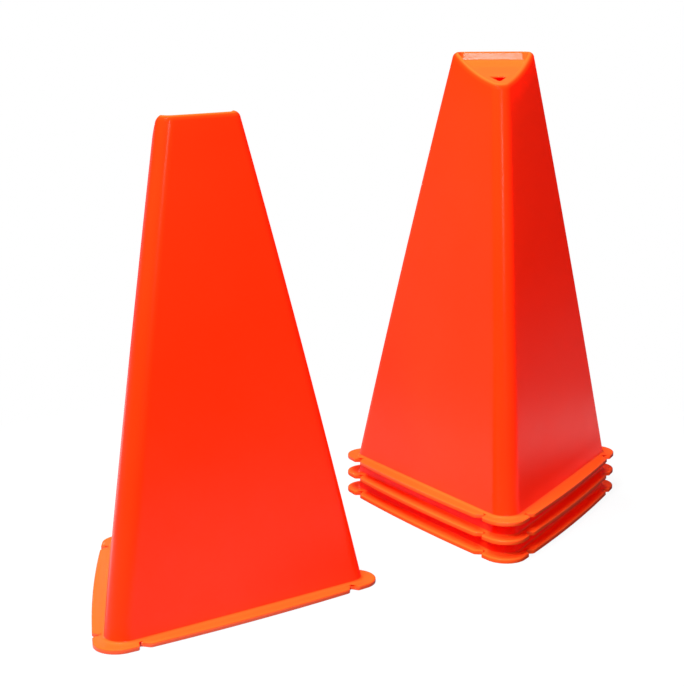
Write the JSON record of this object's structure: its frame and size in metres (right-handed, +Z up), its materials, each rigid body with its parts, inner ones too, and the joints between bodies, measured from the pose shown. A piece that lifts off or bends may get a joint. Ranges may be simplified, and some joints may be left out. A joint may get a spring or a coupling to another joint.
{
  "type": "training cone set",
  "caption": "Thin hollow training cones with a triangular plan, bowed faces, a notched foot flange and a slanted sunk top; some nested in a stack and one standing by itself.",
  "frame": {"origin": "on the floor, at the middle of the whole set's footprint", "axes": "+Z up; +X to the right from the lone cone towards the stack; +Y away from the viewer"},
  "size_m": [0.3662, 0.3252, 0.3255],
  "materials": {
    "orange_plastic": "smooth moulded semi-gloss, slightly translucent"
  },
  "bodies": {
    "stack_bottom": {"bottom_cone": "orange_plastic"},
    "stack_middle": {"middle_cone": "orange_plastic"},
    "stack_top": {"top_cone": "orange_plastic"},
    "lone": {"lone_cone": "orange_plastic"}
  },
  "joints": [
    {"name": "middle_lift", "type": "slide", "parent": "stack_bottom", "child": "stack_middle", "axis": [0, 0, 1], "range_m": [0, 0.31]},
    {"name": "top_lift", "type": "slide", "parent": "stack_middle", "child": "stack_top", "axis": [0, 0, 1], "range_m": [0, 0.31]},
    {"name": "lone_lift", "type": "slide", "parent": "stack_bottom", "child": "lone", "axis": [0, 0, 1], "range_m": [0, 0.34]}
  ]
}
